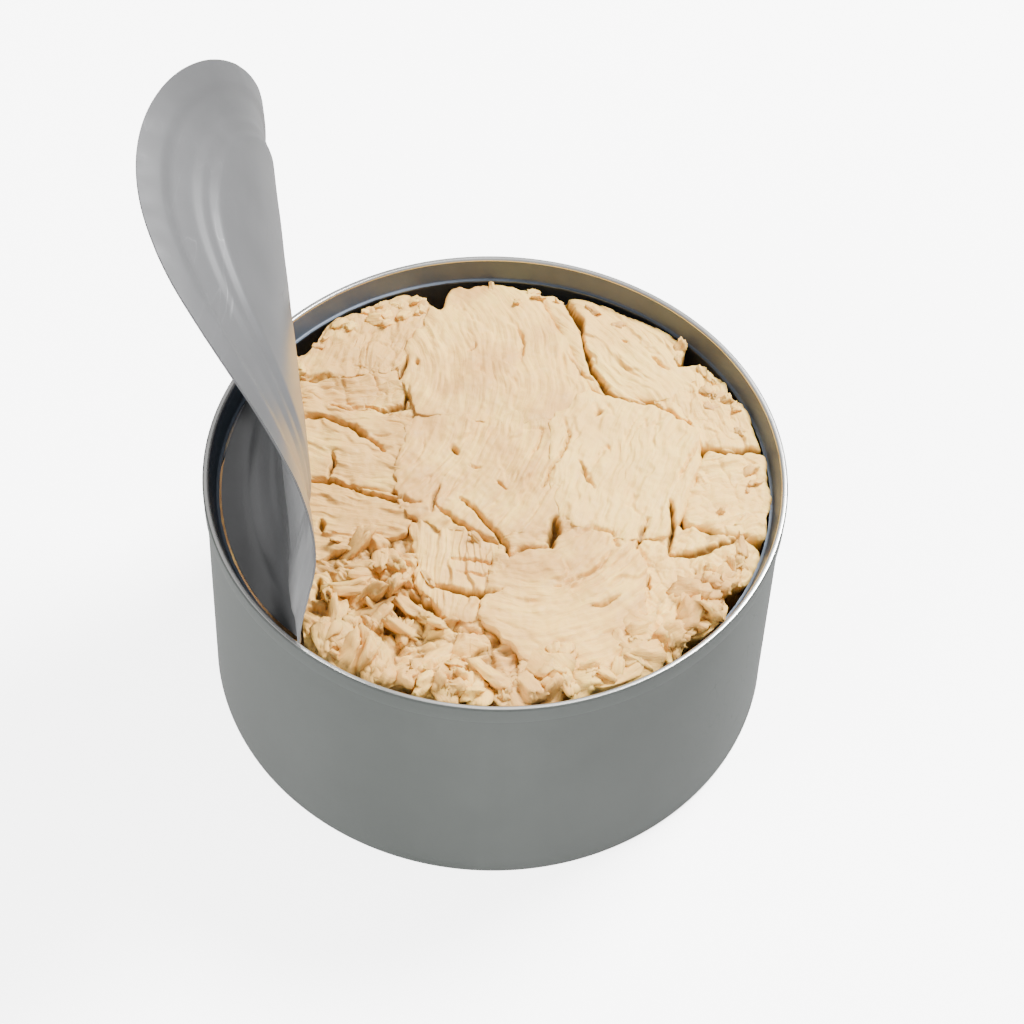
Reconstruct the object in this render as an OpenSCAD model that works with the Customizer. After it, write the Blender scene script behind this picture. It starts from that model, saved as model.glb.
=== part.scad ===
// Opened can of tuna with its lid peeled back and still attached.
// A shallow drawn steel can, a seamed easy-open end whose lid has curled up
// to the left, and packed fish in broad flaky chunks.
// Millimetres, +Z up, origin at the centre of the ring the can stands on.

/* [Can body] */
// Height from the standing ring to the top of the seam
can_height = 43; // [34:0.1:60]
// Outside diameter of the body wall at the seam
body_diameter = 84.9; // [66:0.1:104]
// How far the wall spreads outwards on its way down to the base
body_flare = 0.9; // [0:0.1:1.2]
// Thickness of the drawn body sheet
body_sheet = 0.25; // [0.2:0.05:0.4]
// Outside radius of the corner between wall and base
base_corner_radius = 1; // [1:0.1:4]
// Width of the flat ring the can stands on
stand_width = 1.6; // [1:0.1:3]
// Height of the base panel above the standing ring
base_recess = 1.4; // [0.8:0.1:2.5]
// Width of the slope between the standing ring and the base panel
base_slope_width = 1.8; // [1:0.1:4]
// Height of each round bead pressed into the base panel
base_bead_height = 0.5; // [0.2:0.1:0.8]
// Width of each round bead in the base panel
base_bead_width = 3; // [2:0.1:5]
// Number of round beads in the base panel
base_bead_count = 3; // [1:1:3]
// Distance between neighbouring base beads
base_bead_pitch = 6; // [5:0.1:8]

/* [Seam and torn ring] */
// How far the seam stands out from the body wall
seam_step = 0.35; // [0.3:0.05:1.5]
// Height of the double seam
seam_height = 3; // [2.4:0.1:4]
// Thickness of metal over the top of the body wall
seam_cap = 0.6; // [0.4:0.1:1]
// Radius on the two upper corners of the seam
seam_round = 0.36; // [0.2:0.01:0.36]
// Thickness of the sheet that the end and its lid are pressed from
end_sheet = 0.28; // [0.2:0.02:0.4]
// How far the chuck wall leans inwards over its depth
chuck_lean = 0.8; // [0.4:0.1:1.5]
// Depth of the lid panel below the top of the seam
lid_depth = 3.5; // [3:0.1:5]
// Width of the torn lip left round the opening
lip_width = 0.55; // [0.4:0.05:1.5]
// Sideways play between the body wall and the seam around it
seam_play = 0.05; // [0.03:0.01:0.1]

/* [Lid] */
// Gap that the tear left between the lid's edge and the torn lip
tear_gap = 0.15; // [0.05:0.05:0.4]
// Direction from the fold across the opening, anticlockwise from +X
lid_heading = 10; // [0:1:40]
// Width of the flat strip of lid left between the fold and the ring
fold_strip = 3.3; // [2:0.1:6]
// Radius of the fold where the lid turns up
fold_radius = 5.9; // [4:0.1:7]
// How far the fold turns the lid up, in degrees
fold_turn = 96; // [80:1:100]
// Radius of the slight lean back over the opening above the fold
belly_radius = 84; // [80:1:400]
// Length along the lid from the fold to where the tip curls
curl_start = 36.7; // [30:0.1:45]
// Radius of the curled tip
curl_radius = 22.1; // [16:0.1:40]
// Widths from the lid's edge to each pressed ring
lid_ring_a = 4.7; // [4:0.1:6]
lid_ring_b = 7.6; // [7:0.1:9]
lid_ring_c = 12; // [11:0.1:14]
// Height of the pressed rings
lid_ring_height = 0.5; // [0.2:0.1:0.8]
// Width of the slope at the side of each pressed ring
lid_ring_slope = 0.7; // [0.4:0.1:1]

/* [Pull ring] */
// Outside width of the pull ring
pull_width = 17; // [14:0.5:20]
// Length of the pull ring from nose to heel
pull_length = 23; // [20:0.5:26]
// Thickness of the pull ring
pull_thick = 1.2; // [0.8:0.1:1.6]
// Width of the metal round the finger hole
pull_rim = 3; // [2.4:0.1:4]
// Distance from the rivet's middle to the tip of the tongue
pull_nose_reach = 5; // [4:0.1:6]
// Distance from the rivet's middle to the bend of the ring
pull_bend = 3.4; // [2.8:0.1:5]
// Height of the tongue's underside over the lid at the rivet
pull_seat = 1.2; // [1.2:0.1:1.6]
// How far the finger ring is bent up from the lid
pull_lift = 42; // [35:1:80]
// Distance from the rivet to the lid's edge, along the lid
rivet_inset = 10; // [9.5:0.1:10.8]
// Radius of the rivet head
rivet_radius = 2.2; // [1.8:0.1:2.6]
// Radius of the rivet's shank
rivet_shank = 1.2; // [0.8:0.1:1.6]
// Height of the rivet head over the ring
rivet_head = 0.5; // [0.3:0.1:0.8]

/* [Fish] */
// Depth of the fish surface below the rim at the back of the can
fish_drop_back = 3.6; // [3:0.1:7]
// Depth of the fish surface below the rim at the front of the can
fish_drop_front = 1.4; // [0.8:0.1:4]
// Depth of the packed bed's top below the rim
bed_depth = 11; // [9:0.1:14]
// Play between the packed bed and the can wall
bed_play = 0.1; // [0.05:0.05:0.3]
// Play between the chunks and the torn lip
chunk_play = 0.5; // [0.3:0.1:2]
// Play between the chunks and the turned-up lid
lid_play = 0.8; // [0.5:0.1:2]
// Width of the cracks between neighbouring chunks
crack_width = 0.7; // [0.4:0.1:2]
// Height that the rounded edge of a chunk falls away
edge_fall = 1.6; // [1:0.1:2.5]
// Height of the flake ridges across each chunk
flake_height = 0.35; // [0:0.05:0.6]
// Distance between the flake ridges
flake_pitch = 4.5; // [3:0.1:8]

/* [Hidden] */

ROUND_FN = 96;          // true circles, drawn with this many sides
ARC_STEPS = 6;          // straight steps in each rounded corner of a profile
BEAD_STEPS = 8;         // straight steps across one pressed bead
LID_SECTORS = 60;       // sectors round the lid
CHUNK_SECTORS = 26;     // sectors round each chunk
CORNER_POWER = 18;      // higher numbers give chunks sharper corners
CURVE_STEPS = 60;       // steps when the lid's bend is added up
WELD = 0.4;             // overlap of the lid's flat strip with the torn lip

body_radius = body_diameter / 2;
bore_radius = body_radius - body_sheet;
seam_radius = body_radius + seam_step;
chuck_top_radius = bore_radius - seam_play;
chuck_base_radius = chuck_top_radius - chuck_lean;
opening_radius = chuck_base_radius - end_sheet - lip_width;
body_top = can_height - seam_cap;
lip_level = can_height - lid_depth;

// Outer ends of the base, from the wall inwards
base_radius = body_radius + body_flare;
stand_outer = base_radius - base_corner_radius;
stand_inner = stand_outer - stand_width;
base_panel_radius = stand_inner - base_slope_width;

lid_radius = opening_radius - tear_gap;
fold_chord = lid_radius - fold_strip;   // from the can's axis to the fold
fold_length = fold_radius * fold_turn * PI / 180;
lid_length = fold_chord + lid_radius;   // from the fold to the tip
heading = [cos(lid_heading), sin(lid_heading)];
across = [-sin(lid_heading), cos(lid_heading)];

pull_loop_length = pull_length - pull_nose_reach - pull_bend;
// Half the width of the tongue where the finger ring starts
pull_shoulder = sqrt(pow(pull_width / 2, 2)
    - pow(pull_bend + pull_nose_reach - pull_width / 2, 2));

bed_top = can_height - bed_depth;
chunk_reach = opening_radius - chunk_play;
chunk_lid_limit = fold_chord - fold_radius - end_sheet - lid_play;

// ---- Profiles ----

// Points on an arc from angle a to angle b
function arc(x, z, r, a, b, steps = ARC_STEPS) =
    [for (i = [0:steps]) let (t = a + (b - a) * i / steps)
        [x + r * cos(t), z + r * sin(t)]];

function unit(v) = v / norm(v);

// The direction square to a path at point i, on its left side
function left_of(path, i) = let (
        before = path[max(i - 1, 0)],
        after = path[min(i + 1, len(path) - 1)],
        along = unit(after - before))
    [-along[1], along[0]];

// A sheet of thickness t laid on the left of a path
function sheet(path, t) = concat(path,
    [for (i = [len(path) - 1:-1:0]) path[i] + t * left_of(path, i)]);

// One round bead of the base, rising and falling as a cosine
function bead_rise(r) = let (
        first = base_panel_radius - base_bead_pitch,
        last = first - (base_bead_count - 1) * base_bead_pitch,
        nearest = first - round((first - max(r, last)) / base_bead_pitch)
            * base_bead_pitch,
        off = abs(r - nearest))
    off < base_bead_width / 2
        ? base_bead_height * (1 + cos(360 * off / base_bead_width)) / 2 : 0;

// Radii at which the base panel is drawn, from its centre outwards
bead_radii = [for (k = [base_bead_count - 1:-1:0], i = [0:BEAD_STEPS])
    base_panel_radius - (k + 1) * base_bead_pitch
        + (i / BEAD_STEPS - 0.5) * base_bead_width];

// Underside of the base panel, as a height over the radius
function base_path() = concat(
    [[0, base_recess]],
    [for (r = bead_radii) [r, base_recess + bead_rise(r)]],
    [[base_panel_radius, base_recess], [stand_inner, 0], [stand_outer, 0]],
    arc(stand_outer, base_corner_radius, base_corner_radius, -90, 0),
    [[body_radius, can_height - seam_height], [body_radius, body_top]]);

// ---- Lid ----

// Turn of the lid at distance s from the fold, in degrees
function lid_turn(s) = s <= 0 ? 0 :
    (s < fold_length ? fold_turn * s / fold_length
        : fold_turn - (s - fold_length) / belly_radius * 180 / PI)
    + (s > curl_start ? (s - curl_start) / curl_radius * 180 / PI : 0);

// Places along the bent lid at equal steps of its length, by adding up
step = lid_length / CURVE_STEPS;
function bend_sum(k) = [for (i = 0, p = [0, 0]; i <= k;
    p = p + step * [cos(lid_turn((i + 0.5) * step)), sin(lid_turn((i + 0.5) * step))],
    i = i + 1) p];
bend_points = bend_sum(CURVE_STEPS + 1);
function bend_at(s) = s <= 0 ? [s, 0] : let (k = floor(s / step), f = s / step - k)
    bend_points[k] * (1 - f) + bend_points[k + 1] * f;

// Smooth step from 0 to 1 as x passes from a to b
function ease(x, a, b) = let (t = min(max((x - a) / (b - a), 0), 1)) t * t * (3 - 2 * t);

// Height of the pressed rings at inset d from the lid's edge
function lid_relief(d) = lid_ring_height
    * (ease(d, lid_ring_a - lid_ring_slope, lid_ring_a)
        - ease(d, lid_ring_b, lid_ring_b + lid_ring_slope)
        - ease(d, lid_ring_c, lid_ring_c + lid_ring_slope));

// A point of the lid: s from the fold, q sideways, h out of its mid surface
function lid_point(s, q, h) = let (
        b = bend_at(s), t = lid_turn(s),
        out = b[0] - fold_chord - h * sin(t),
        up = b[1] + h * cos(t))
    [out * heading[0] + q * across[0], out * heading[1] + q * across[1],
        lip_level - end_sheet / 2 + up];

lid_insets = [0, 0.5 * (lid_ring_a - lid_ring_slope), lid_ring_a - lid_ring_slope,
    lid_ring_a, lid_ring_b, lid_ring_b + lid_ring_slope, lid_ring_c,
    lid_ring_c + lid_ring_slope, lid_radius * 0.5, lid_radius * 0.75];

// Grid of the lid: rings of points round its centre, then the centre itself
function lid_side(h) = concat(
    [for (d = lid_insets, k = [0:LID_SECTORS - 1])
        let (r = lid_radius - d, a = 360 * k / LID_SECTORS)
        lid_point(fold_chord + r * cos(a), r * sin(a), lid_relief(d) + h)],
    [lid_point(fold_chord, 0, lid_relief(lid_radius) + h)]);

// Faces of a disc of rings, seen from outside, starting at point number first
function disc_faces(rings, sectors, first) = let (n = sectors)
    concat(
        [for (i = [0:1:rings - 2], k = [0:n - 1]) let (m = (k + 1) % n)
            [first + i * n + k, first + (i + 1) * n + k, first + (i + 1) * n + m]],
        [for (i = [0:1:rings - 2], k = [0:n - 1]) let (m = (k + 1) % n)
            [first + i * n + k, first + (i + 1) * n + m, first + i * n + m]],
        [for (k = [0:n - 1])
            [first + (rings - 1) * n + k, first + rings * n,
                first + (rings - 1) * n + (k + 1) % n]]);

function flip(faces) = [for (f = faces) [f[2], f[1], f[0]]];

// Band of faces between ring a (above) and ring b (below)
function band_faces(a, b, n) = concat(
    [for (k = [0:n - 1]) [a + k, a + (k + 1) % n, b + k]],
    [for (k = [0:n - 1]) [a + (k + 1) % n, b + (k + 1) % n, b + k]]);

module bent_lid() {
    rings = len(lid_insets);
    count = rings * LID_SECTORS + 1;
    polyhedron(
        points = concat(lid_side(end_sheet / 2), lid_side(-end_sheet / 2)),
        faces = concat(
            disc_faces(rings, LID_SECTORS, 0),
            flip(disc_faces(rings, LID_SECTORS, count)),
            band_faces(0, count, LID_SECTORS)),
        convexity = 8);
}

// Part of the torn lip that still joins the lid's flat strip to the ring
module hinge_web() {
    half_angle = acos(fold_chord / lid_radius);
    translate([0, 0, lip_level - end_sheet])
        rotate(180 + lid_heading - half_angle)
            rotate_extrude(angle = 2 * half_angle, $fn = ROUND_FN)
                translate([lid_radius - WELD, 0])
                    square([opening_radius - lid_radius + 2 * WELD, end_sheet]);
}

// Seam, chuck wall and torn lip in one section
module end_section() {
    seam_base = can_height - seam_height;
    chuck_slope = chuck_lean / (lid_depth - seam_cap);
    inner_top = chuck_top_radius - end_sheet;
    foot_round = (seam_step - seam_play) / 2;
    polygon(concat(
        [[body_radius + seam_play, body_top], [body_radius + seam_play, seam_base]],
        arc(seam_radius - foot_round, seam_base + foot_round, foot_round, -90, 0),
        arc(seam_radius - seam_round, can_height - seam_round, seam_round, 0, 90),
        arc(inner_top + seam_round, can_height - seam_round, seam_round, 90, 180),
        [[chuck_base_radius - end_sheet, lip_level],
            [opening_radius, lip_level],
            [opening_radius, lip_level - end_sheet],
            [chuck_base_radius + chuck_slope * end_sheet, lip_level - end_sheet],
            [chuck_top_radius, body_top]]));
}

// ---- Fish ----

// Each chunk: place of its middle and room it takes from its neighbours (more
// where the number is bigger), both as they are in an opening with a reach of
// 40; height over the general level; tilt to the right and to the back (rise
// per mm); direction of its flakes
chunks = [
    [-20, 28.4, -10,  0.3, -0.03, -0.03,  80],
    [ -1, 20.8, 120,  0.5,  0.00, -0.02,  85],
    [ 21, 30,    80, -0.2,  0.01, -0.02, 120],
    [ 34, 15.8, -10, -0.4, -0.06,  0.00,  95],
    [ 34, -2.3, -10,  0.3, -0.04,  0.01,  20],
    [ 18,  2,    90,  0.8, -0.01,  0.02,  75],
    [ -1,  0.9, 100,  0.7,  0.00,  0.00, 100],
    [-17, 15.1, -50,  0.0,  0.00,  0.05,  10],
    [-20,  2.6, -20,  0.2,  0.02,  0.02, 160],
    [-22, -9.4, -20,  0.0,  0.03,  0.02, 165],
    [ -4,-16.8, -20,  0.1,  0.00,  0.02,   0],
    [ 11,-20.2,  70,  0.5,  0.00,  0.00,  40],
    [-17,-21.3,  10, -0.4,  0.02,  0.01, 140],
    [ 30,-19.1,  50, -0.3, -0.03,  0.01,  60],
    [ -2,-34.1, -40, -0.8,  0.00,  0.01,  15],
];

// General level of the fish, falling towards the back, bulged in the middle
BULGE = 0.8;            // rise of the fish in the middle of the can
function fish_level(x, y) = can_height
    - (fish_drop_back + fish_drop_front) / 2
    - (fish_drop_back - fish_drop_front) / 2 * y / chunk_reach
    + BULGE * (1 - (x * x + y * y) / (chunk_reach * chunk_reach));

CHUNK_TABLE_REACH = 40;
chunk_scale = chunk_reach / CHUNK_TABLE_REACH;
function middle(i) = [chunks[i][0], chunks[i][1]] * chunk_scale;
function room(i) = chunks[i][2] * chunk_scale * chunk_scale;

// Distance from chunk i to the edge of its share, in the direction u,
// towards neighbour j
function share_edge(i, j, u) = let (
        gap = middle(j) - middle(i),
        far = norm(gap),
        toward = (gap * u) / far,
        half = (far + (room(i) - room(j)) / far) / 2)
    toward > 0.02 ? (half - crack_width / 2) / toward : 1000;

// Distance from chunk i to the round of the opening in the direction u
function wall_edge(i, u) = let (p = middle(i), b = p * u)
    -b + sqrt(b * b - p * p + chunk_reach * chunk_reach);

// Distance from chunk i to the turned-up lid in the direction u
function lid_edge(i, u) = let (toward = -(heading * u))
    toward > 0.02 ? (middle(i) * heading + chunk_lid_limit) / toward : 1000;

// Reach of chunk i in direction a: the least of all its limits, smoothed
function chunk_reach_at(i, a) = let (
        u = [cos(a), sin(a)],
        limits = concat([wall_edge(i, u), lid_edge(i, u)],
            [for (j = [0:len(chunks) - 1]) if (j != i) share_edge(i, j, u)]),
        total = [for (k = 0, s = 0; k <= len(limits);
            s = s + (k < len(limits) ? pow(limits[k], -CORNER_POWER) : 0), k = k + 1) s])
    pow(total[len(limits)], -1 / CORNER_POWER);

// Shares of the reach at which the rings of a chunk's top are drawn
chunk_rings = [1, 0.93, 0.75, 0.5, 0.25];

// Ridges of the flakes, running square to the chunk's own direction
function flake(i, x, y) = let (
        a = chunks[i][6],
        across_flakes = x * cos(a) + y * sin(a),
        along_flakes = y * cos(a) - x * sin(a))
    flake_height * (sin(360 * across_flakes / flake_pitch + 40 * i)
        + 0.7 * sin(360 * along_flakes / (2.7 * flake_pitch) + 70 * i));

// Top of chunk i at the share f of its reach r in direction a
function chunk_top(i, f, r, a) = let (
        c = chunks[i],
        dx = f * r * cos(a),
        dy = f * r * sin(a),
        p = middle(i) + [dx, dy],
        level = fish_level(p[0], p[1]) + c[3] + c[4] * dx + c[5] * dy)
    [p[0], p[1],
        level - edge_fall * pow(f, 8) + (f < 1 ? flake(i, dx, dy) : 0)];

module chunk(i) {
    n = CHUNK_SECTORS;
    rings = len(chunk_rings);
    reach = [for (k = [0:n - 1]) chunk_reach_at(i, 360 * k / n)];
    top = [for (f = chunk_rings, k = [0:n - 1]) chunk_top(i, f, reach[k], 360 * k / n)];
    foot = [for (k = [0:n - 1]) [top[k][0], top[k][1], bed_top]];
    foot_middle = [middle(i)[0], middle(i)[1], bed_top];
    count = rings * n + 1;
    polyhedron(
        points = concat(top, [chunk_top(i, 0, 0, 0)], foot, [foot_middle]),
        faces = concat(disc_faces(rings, n, 0), band_faces(0, count, n),
            flip(disc_faces(1, n, count))),
        convexity = 4);
}

// ---- Pieces ----

module can_body() {
    color([0.60, 0.61, 0.60])
        rotate_extrude($fn = ROUND_FN)
            polygon(sheet(base_path(), body_sheet));
}

module can_end() {
    color([0.72, 0.72, 0.73]) {
        rotate_extrude($fn = ROUND_FN)
            end_section();
        hinge_web();
        bent_lid();
    }
}

// Puts a piece on the lid's outer face, at distance s from the fold, with its
// own X pointing along the lid towards the tip and its own Z away from the lid
module on_lid(s) {
    translate(lid_point(s, 0, end_sheet / 2 + lid_relief(lid_length - s)))
        rotate([0, 0, lid_heading])
            rotate([0, -lid_turn(s), 0])
                children();
}

// The pull ring: a tongue held flat by the rivet, then the finger ring, bent up
module pull_ring() {
    color([0.75, 0.75, 0.76])
        on_lid(lid_length - rivet_inset) {
            translate([0, 0, pull_seat]) linear_extrude(pull_thick)
                difference() {
                    pull_tongue();
                    circle(r = rivet_shank, $fn = ROUND_FN);
                }
            translate([-pull_bend, 0, pull_seat])
                rotate([0, pull_lift, 0])
                    linear_extrude(pull_thick)
                        pull_loop();
        }
}

// Outline of the tongue, with the rivet's middle at the origin
module pull_tongue() {
    intersection() {
        translate([pull_nose_reach - pull_width / 2, 0])
            circle(d = pull_width, $fn = ROUND_FN);
        translate([-pull_bend, -pull_width / 2])
            square([pull_bend + pull_nose_reach, pull_width]);
    }
}

// Outline of the finger ring, running back from the bend at x = 0
module pull_loop() {
    r = pull_width / 2;
    middle_x = r - pull_loop_length;
    difference() {
        union() {
            translate([middle_x, 0]) circle(r = r, $fn = ROUND_FN);
            translate([middle_x, -pull_shoulder])
                square([pull_loop_length - r, 2 * pull_shoulder]);
        }
        translate([middle_x, 0]) circle(r = r - pull_rim, $fn = ROUND_FN);
    }
}

module rivet() {
    color([0.66, 0.66, 0.67])
        on_lid(lid_length - rivet_inset) {
            cylinder(r = rivet_shank, h = pull_seat + pull_thick, $fn = ROUND_FN);
            translate([0, 0, pull_seat + pull_thick])
                cylinder(r = rivet_radius, h = rivet_head, $fn = ROUND_FN);
        }
}

module fish_bed() {
    floor_gap = body_sheet + bed_play;
    color([0.86, 0.75, 0.62])
        rotate_extrude($fn = ROUND_FN)
            polygon(concat(
                [[0, base_recess + base_bead_height + floor_gap],
                    [base_panel_radius, base_recess + base_bead_height + floor_gap],
                    [stand_inner, floor_gap + base_bead_height]],
                arc(stand_outer, base_corner_radius, base_corner_radius - floor_gap, -60, 0),
                [[bore_radius - bed_play, bed_top], [0, bed_top]]));
}

CREAM = [0.93, 0.86, 0.75];
PINK_TAN = [0.86, 0.74, 0.63];

can_body();
can_end();
pull_ring();
rivet();
fish_bed();
color(PINK_TAN) chunk(0);  // chunk_back_left
color(CREAM) chunk(1);  // chunk_back
color(CREAM) chunk(2);  // chunk_back_right
color(CREAM) chunk(3);  // chunk_right
color(CREAM) chunk(4);  // chunk_right_front
color(CREAM) chunk(5);  // chunk_centre_right
color(CREAM) chunk(6);  // chunk_centre
color(PINK_TAN) chunk(7);  // chunk_left
color(PINK_TAN) chunk(8);  // chunk_left_band
color(PINK_TAN) chunk(9);  // chunk_left_front
color(CREAM) chunk(10);  // chunk_layered
color(CREAM) chunk(11);  // chunk_swirl
color(PINK_TAN) chunk(12);  // chunk_front_left
color(CREAM) chunk(13);  // chunk_front_right
color(CREAM) chunk(14);  // front_flakes
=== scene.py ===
# %% [markdown]
# # An opened can of tuna
# A short steel can stands open. Its lid has been pulled back, has curled like a
# wood shaving and still hangs on the rim by a narrow strip. Inside lies cooked
# tuna, packed in broad pale blocks with a few cracks and a heap of small flakes
# at the front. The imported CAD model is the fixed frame, and every piece here is
# built around it, in its coordinates.

# %% Load the frame
import math
import random

import bmesh
import bpy
import numpy as np
from bpy_extras.object_utils import world_to_camera_view
from mathutils import Matrix, Vector, geometry, noise
from mathutils.bvhtree import BVHTree


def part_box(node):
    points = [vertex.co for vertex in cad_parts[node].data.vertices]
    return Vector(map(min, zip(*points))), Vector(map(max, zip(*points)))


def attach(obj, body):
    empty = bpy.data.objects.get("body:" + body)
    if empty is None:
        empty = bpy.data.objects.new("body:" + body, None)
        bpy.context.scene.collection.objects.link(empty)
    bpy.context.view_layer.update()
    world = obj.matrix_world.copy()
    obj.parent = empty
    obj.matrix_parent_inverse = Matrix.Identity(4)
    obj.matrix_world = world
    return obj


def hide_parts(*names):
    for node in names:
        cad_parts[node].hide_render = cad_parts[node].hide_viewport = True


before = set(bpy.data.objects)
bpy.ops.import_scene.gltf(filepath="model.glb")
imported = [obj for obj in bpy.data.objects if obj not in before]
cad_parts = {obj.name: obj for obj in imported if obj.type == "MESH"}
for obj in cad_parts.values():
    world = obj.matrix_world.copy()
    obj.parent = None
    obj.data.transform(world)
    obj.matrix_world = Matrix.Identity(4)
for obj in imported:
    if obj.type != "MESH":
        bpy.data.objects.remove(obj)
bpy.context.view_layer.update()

print("CAD nodes:", len(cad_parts))

# %% [markdown]
# ## Sizes
# A can is drawn in millimetres, and Blender works in metres. So each piece is
# modelled in millimetres and scaled once, when it is finished. The driving sizes
# are those of the real can; everything else is worked out from them.

# %% Driving sizes, in millimetres
MM = 0.001
CAN_HEIGHT = 43.0
BODY_RADIUS = 42.45
BASE_RADIUS = 43.35
BODY_SHEET = 0.25
BASE_CORNER = 1.0
STAND_WIDTH = 1.6
BASE_RECESS = 1.4
BASE_SLOPE = 1.8
SEAM_STEP = 0.35
SEAM_HEIGHT = 3.0
SEAM_CAP = 0.6
SEAM_ROUND = 0.36
SEAM_PLAY = 0.05
END_SHEET = 0.28
CHUCK_LEAN = 0.8
LID_DEPTH = 3.5
LIP_WIDTH = 0.55
TEAR_GAP = 0.15

STAND_OUTER = BASE_RADIUS - BASE_CORNER
STAND_INNER = STAND_OUTER - STAND_WIDTH
BASE_PANEL = STAND_INNER - BASE_SLOPE
CHUCK_TOP = BODY_RADIUS - BODY_SHEET - SEAM_PLAY
CHUCK_BASE = CHUCK_TOP - CHUCK_LEAN
OPENING = CHUCK_BASE - END_SHEET - LIP_WIDTH
BODY_TOP = CAN_HEIGHT - SEAM_CAP
LIP_LEVEL = CAN_HEIGHT - LID_DEPTH

low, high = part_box("can_body")
print(f"body radius {BODY_RADIUS} mm, CAD {high.x / MM:.2f} mm")
print(f"opening radius {OPENING:.2f} mm, body top {BODY_TOP} mm, CAD {high.z / MM:.2f} mm")

# %% [markdown]
# ## Small helpers
# A bmesh is a mesh under construction. Round pieces start as a section: `arc` gives
# a rounded corner, `add_path` draws the section and `spin_round` turns it round the
# axis. `finish_piece` closes the work: it scales millimetres to metres, writes the
# mesh, shades it smooth and hands the piece to the frame. `ease` and `noise_at`
# work on whole arrays, because the fish has many points.

# %% Helpers
def arc(x, z, radius, start, end, steps=8):
    """Points on an arc, with angles in degrees."""
    angles = [math.radians(start + (end - start) * i / steps) for i in range(steps + 1)]
    return [Vector((x + radius * math.cos(a), 0, z + radius * math.sin(a))) for a in angles]


def add_path(bm, points, closed=False):
    """Puts a chain of edges through the points."""
    verts = [bm.verts.new(p) for p in points]
    ends = verts[1:] + verts[:1] if closed else verts[1:]
    edges = [bm.edges.new(pair) for pair in zip(verts, ends)]
    return verts + edges


def spin_round(bm, geom, steps):
    """Turns a section once round the Z axis and closes its seam and poles."""
    bmesh.ops.spin(bm, geom=geom, cent=(0, 0, 0), axis=(0, 0, 1), angle=math.tau,
                   steps=steps, use_merge=True)
    bmesh.ops.remove_doubles(bm, verts=bm.verts, dist=1e-4)
    bmesh.ops.recalc_face_normals(bm, faces=bm.faces)


def finish_piece(bm, name, material, slot, replaced=(), sharp_angle=40):
    """Makes the bmesh a finished object that stands for the replaced nodes."""
    bmesh.ops.scale(bm, vec=(MM, MM, MM), verts=bm.verts)
    mesh = bpy.data.meshes.new(name)
    bm.to_mesh(mesh)
    bm.free()
    mesh.shade_smooth()
    if sharp_angle:
        mesh.set_sharp_from_angle(angle=math.radians(sharp_angle))
    piece = bpy.data.objects.new(name, mesh)
    bpy.context.scene.collection.objects.link(piece)
    mesh.materials.append(material)
    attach(piece, "root")
    if replaced:
        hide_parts(*replaced)
    print(f"{name}: {len(mesh.vertices)} vertices, {len(mesh.polygons)} faces")
    return piece


def ease(x, start, end):
    """Smooth step from 0 to 1 as x goes from start to end. Works on arrays too."""
    t = np.clip((x - start) / (end - start), 0.0, 1.0)
    return t * t * (3 - 2 * t)


def noise_at(x, y, size, seed=0.0):
    """Smooth noise at many places at once. size is the length of its waves in mm."""
    rows = np.column_stack((x / size, y / size, np.full(len(x), float(seed)))).tolist()
    return np.array([noise.noise(row) for row in rows])


# %% [markdown]
# ## Node helpers
# Materials are node trees. These helpers keep their code short: they add a node,
# make a material or a group, mix colours, remap a value, do a sum, stretch a place,
# lay a noise, and turn a height into a bump.

# %% Node helpers
def set_inputs(node, values):
    """Sets inputs by name or number. A value that is an output is linked instead."""
    for key, value in values.items():
        if isinstance(value, bpy.types.NodeSocket):
            node.id_data.links.new(value, node.inputs[key])
        else:
            node.inputs[key].default_value = value


def add_node(tree, kind, values=None, **settings):
    """Adds a node, sets its properties and then its inputs."""
    node = tree.nodes.new(kind)
    for key, value in settings.items():
        setattr(node, key, value)
    set_inputs(node, values or {})
    return node


def new_material(name, values):
    """A material, its node tree and its shader with the given values."""
    material = bpy.data.materials.new(name)
    material.use_nodes = True
    shader = material.node_tree.nodes["Principled BSDF"]
    set_inputs(shader, values)
    return material, material.node_tree, shader


def new_group(name, inputs, outputs):
    """A shader group. inputs holds (name, type, default); outputs holds (name, type)."""
    group = bpy.data.node_groups.new(name, "ShaderNodeTree")
    for label, kind, default in inputs:
        socket = group.interface.new_socket(label, in_out="INPUT", socket_type=kind)
        socket.default_value = default
    for label, kind in outputs:
        group.interface.new_socket(label, in_out="OUTPUT", socket_type=kind)
    return group, group.nodes.new("NodeGroupInput"), group.nodes.new("NodeGroupOutput")


def mix_colour(tree, factor, first, second):
    """A colour mix. Each argument is an output or a plain value."""
    return add_node(tree, "ShaderNodeMix", {0: factor, 6: first, 7: second},
                    data_type="RGBA").outputs[2]


def remap(tree, value, from_low, from_high, to_low=0.0, to_high=1.0):
    """Carries a value smoothly from one range to another."""
    return add_node(tree, "ShaderNodeMapRange",
                    {0: value, 1: from_low, 2: from_high, 3: to_low, 4: to_high},
                    interpolation_type="SMOOTHSTEP").outputs[0]


def math_node(tree, operation, first, second):
    """A sum of two outputs or plain numbers."""
    return add_node(tree, "ShaderNodeMath", {0: first, 1: second},
                    operation=operation).outputs[0]


def stretch_place(tree, place, factors):
    """A place multiplied by three factors."""
    return add_node(tree, "ShaderNodeVectorMath", {0: place, 1: factors},
                    operation="MULTIPLY").outputs[0]


def noise_node(tree, vector, scale, detail=2.0, roughness=0.5):
    """A noise laid at the places that vector gives."""
    return add_node(tree, "ShaderNodeTexNoise",
                    {"Vector": vector, "Scale": scale, "Detail": detail,
                     "Roughness": roughness}).outputs["Fac"]


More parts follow.
